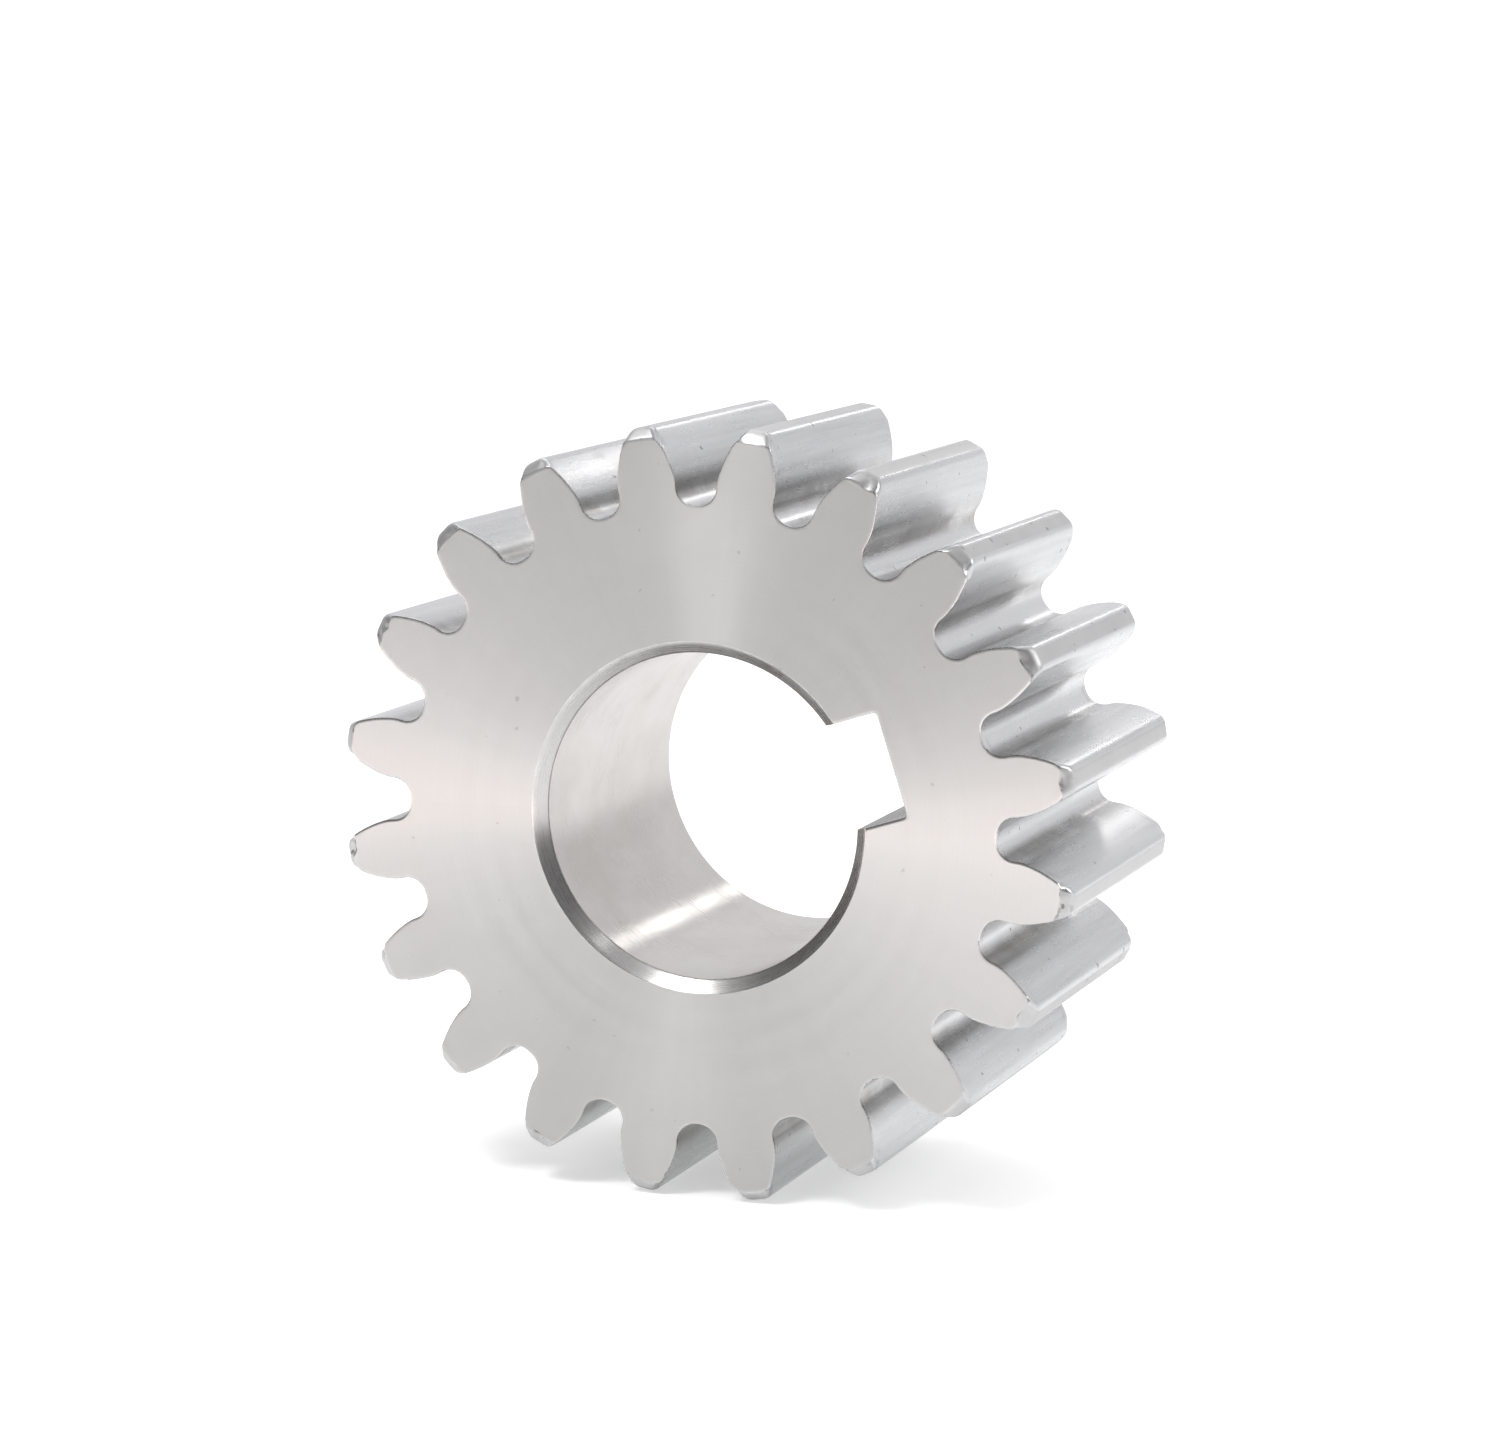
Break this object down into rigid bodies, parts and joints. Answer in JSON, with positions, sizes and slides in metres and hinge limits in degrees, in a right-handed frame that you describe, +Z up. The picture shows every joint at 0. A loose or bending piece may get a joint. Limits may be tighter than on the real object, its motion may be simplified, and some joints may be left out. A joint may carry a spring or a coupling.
{
  "type": "spur gear",
  "caption": "Straight-cut spur gear of bare steel, with a chamfered through bore and one keyway for a keyed shaft.",
  "frame": {"origin": "on the bore axis, half way along the face width", "axes": "+Y along the bore axis, from the front face to the back face; +Z up, with a tooth space straight below the axis; the keyway is 18 degrees from +X towards +Z"},
  "size_m": [0.0436, 0.02, 0.0436],
  "materials": {
    "machined_steel": "bare, dry, turned and hobbed"
  },
  "bodies": {
    "root": {"spur_gear": "machined_steel"}
  },
  "joints": []
}
